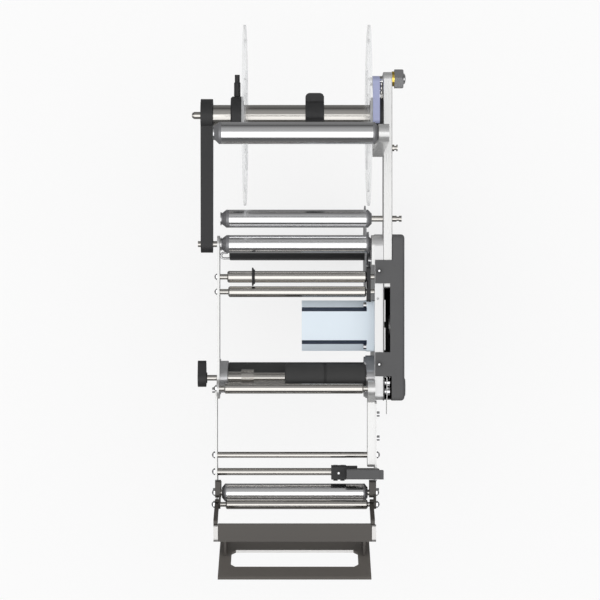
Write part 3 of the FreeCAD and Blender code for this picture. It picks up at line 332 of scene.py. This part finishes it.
def finishes():
    """One finish for every material slot of the record."""
    made = [
        drawn("plate_alu", (0.64, 0.64, 0.64), 0.30, ALONG_Y, 0.6),
        drawn("bar_alu", (0.66, 0.66, 0.655), 0.28, ALONG_Y, 0.6),
        drawn("steel", GROUND_STEEL, 0.14, ROUND_X, depth=0.0004),
        drawn("bright_steel", (0.70, 0.70, 0.71), 0.14, EVEN),
        drawn("roller_alu", SATIN, 0.16, ROUND_X, depth=0.0004),
        moulded("black_plastic", NEAR_BLACK, 0.45),
        moulded("black_paint", NEAR_BLACK, 0.42, 0.8, 0.006),
        moulded("cover_paint", (0.105, 0.105, 0.107), 0.5, 0.6, 0.02),
        drawn("dark_anodised", (0.074, 0.067, 0.060), 0.42, ALONG_X, 0.15, 0.06),
        motor_skin("motor_paint"),
        drawn("lilac_anodised", (0.40, 0.43, 0.64), 0.36, ALONG_Y, 0.2),
        moulded("rubber", (0.048, 0.048, 0.048), 0.62, 0.3, 0.008),
        drawn("brass", (0.87, 0.63, 0.13), 0.2, EVEN),
        clear_sheet("clear_acrylic"),
        drawn("grey_housing", (0.56, 0.56, 0.57), 0.3, EVEN, 0.6),
        moulded("sensor_grey", (0.105, 0.105, 0.107), 0.42, 0.8, 0.006),
        moulded("belt_rubber", (0.03, 0.03, 0.03), 0.7, 0.3, 0.02),
    ]
    return {finish.name: finish.material for finish in made}


def paint(node, finish):
    """Give one CAD node its only finish."""
    skin = nodes[node].data.materials
    skin.clear()
    skin.append(finish)


def dress():
    """Give every CAD node its slot's finish, and some nodes one of their own."""
    for part in frame["record"]["subparts"]:
        paint(part["node"], slot_finish[part["material_slot"]])
    for name, (left, right) in CAP_LENGTHS.items():
        low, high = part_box(name)
        skin = turned_roller(name + "_skin", low.x + left * MM, high.x - right * MM)
        paint(name, skin.material)
    low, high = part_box("sensor_screw")
    middle = (low + high) / 2
    paint("sensor_screw", screw_skin("sensor_screw_skin", [(middle.x, middle.y)]).material)
    paint("socket_screws", screw_skin("socket_screws_skin", COVER_SCREWS).material)
    paint("peel_plate", beak_skin("peel_plate_skin").material)
    paint("cheek_lugs", drawn("cheek_lug_skin", LUG_GREY, 0.3, EVEN, 0.7).material)


slot_finish = finishes()
dress()


# ---- bearing ends ------------------------------------------------------------
BEARING_ENDS = (                # name, slot and (x, radius) section in mm from the roller's end
    ("bearing_ring", "bright_steel",
     ((0.4, 11.0), (-1.0, 11.0), (-1.3, 10.7), (-1.3, 9.6), (0.4, 9.6))),
    ("bearing_shield", "black_plastic",
     ((0.3, 9.3), (-0.5, 9.3), (-0.5, 6.9), (0.3, 6.9))),
    ("inner_ring", "bright_steel",
     ((0.4, 6.7), (-1.1, 6.7), (-1.4, 6.4), (-1.4, 5.3), (0.4, 5.3))),
)
SIDES = 40


def lathe(name, profile, centre, body, slot):
    """Turn (x, radius) points, in mm from the centre, about the X line through it."""
    points = []
    for along, radius in profile:
        for i in range(SIDES):
            turn = 2 * math.pi * i / SIDES
            spoke = Vector((along, radius * math.cos(turn), radius * math.sin(turn)))
            points.append(centre + spoke * MM)
    faces = []
    for ring in range(len(profile)):
        here = ring * SIDES
        after = (ring + 1) % len(profile) * SIDES
        for i in range(SIDES):
            j = (i + 1) % SIDES
            faces.append((here + i, after + i, after + j, here + j))
    mesh = bpy.data.meshes.new(name)
    mesh.from_pydata(points, [], faces)
    mesh.materials.append(slot_finish[slot])
    piece = bpy.data.objects.new(name, mesh)
    bpy.context.scene.collection.objects.link(piece)
    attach(piece, body)


def bearing_ends():
    """The bearing's outer ring, shield and inner ring at three guide rollers' free ends."""
    for roller in ("dancer_roller", "rear_guide_roller", "centre_guide_roller"):
        low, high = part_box(roller)
        end = Vector((low.x, (low.y + high.y) / 2, (low.z + high.z) / 2))
        for name, slot, profile in BEARING_ENDS:
            lathe(roller + "_" + name, profile, end, roller, slot)


bearing_ends()


# ---- studio ------------------------------------------------------------------
EYE = (-0.140, 0.110, 3.830)
FLOOR_HALF = 14.0
FLOOR_GAP = 0.004               # the floor lies this far under the lowest point
PAPER, PAPER_SHADE = (0.95, 0.95, 0.95), (0.45, 0.45, 0.45)
GLOW_SHARE = 0.7                # the rest of the floor takes the object's shadow
FLOOR_IN_METAL = 0.22
WHITE = (1.0, 1.0, 1.0, 1.0)
LEAST_UP = 0.001


def white_floor():
    """The pale floor: white where it is seen, with the object's soft shadow on it."""
    height = cad_box[0].z - FLOOR_GAP
    signs = ((-1, -1), (1, -1), (1, 1), (-1, 1))
    corners = [(x * FLOOR_HALF, y * FLOOR_HALF, height) for x, y in signs]
    mesh = bpy.data.meshes.new("floor")
    mesh.from_pydata(corners, [], [(0, 1, 2, 3)])
    floor = bpy.data.objects.new("floor", mesh)
    bpy.context.scene.collection.objects.link(floor)
    finish = Finish("floor_paper")
    white, glossy = finish.rays()
    finish.set(Base_Color=finish.mix(white, PAPER_SHADE, PAPER), Roughness=1.0)
    finish.set(Specular_IOR_Level=0.0)
    level = white + glossy * FLOOR_IN_METAL
    glow = finish.node("Emission", None, {"Color": WHITE, "Strength": level})
    paper = Wire(finish, finish.shader.outputs[0])
    share = (white * GLOW_SHARE + glossy).held()
    skin = finish.node("MixShader", None, {0: share, 1: paper, 2: glow})
    finish.join(skin, finish.tree.nodes["Material Output"].inputs["Surface"])
    mesh.materials.append(finish.material)


def sky():
    """Plain soft light, in which metal reflects a light box overhead and darker walls."""
    world = bpy.data.worlds.new("studio")
    bpy.context.scene.world = world
    world.use_nodes = True
    graph = Graph(world.node_tree)
    x, y, z = graph.parts(graph.node("TexCoord", output="Generated"))
    up = z.held()
    lean = 0.0 - y / (up + LEAST_UP)            # how far a ray leans to the beak's side
    spread = abs(x) / (up + LEAST_UP)
    box = lean.between(-0.05, 1.15, 0.25) * (1.0 - spread.rise(1.6, 2.2)) * z.rise(0.0, 0.05)
    beak_side = lean.rise(0.2, 0.6)
    rear_wall = (0.10 + 0.36 * up.rise(0.1, 0.9)) * (1.0 - beak_side)
    reflected = rear_wall + 0.12 * beak_side + box * 1.35
    white, glossy = graph.rays()
    plain = glossy * reflected + (1.0 - glossy) * (0.72 + 0.36 * up)
    background = world.node_tree.nodes["Background"]
    graph.join(plain * (1.0 - white) + white, background.inputs["Strength"])
    background.inputs["Color"].default_value = WHITE


def camera():
    """A long lens that looks straight down on the machine."""
    lens = bpy.data.cameras.new("camera")
    lens.lens = 131.4
    lens.sensor_width = 36.0
    lens.clip_end = 100.0
    eye = bpy.data.objects.new("camera", lens)
    bpy.context.scene.collection.objects.link(eye)
    eye.location = EYE
    bpy.context.scene.camera = eye


white_floor()
sky()
camera()
bpy.context.scene.view_settings.view_transform = "Standard"
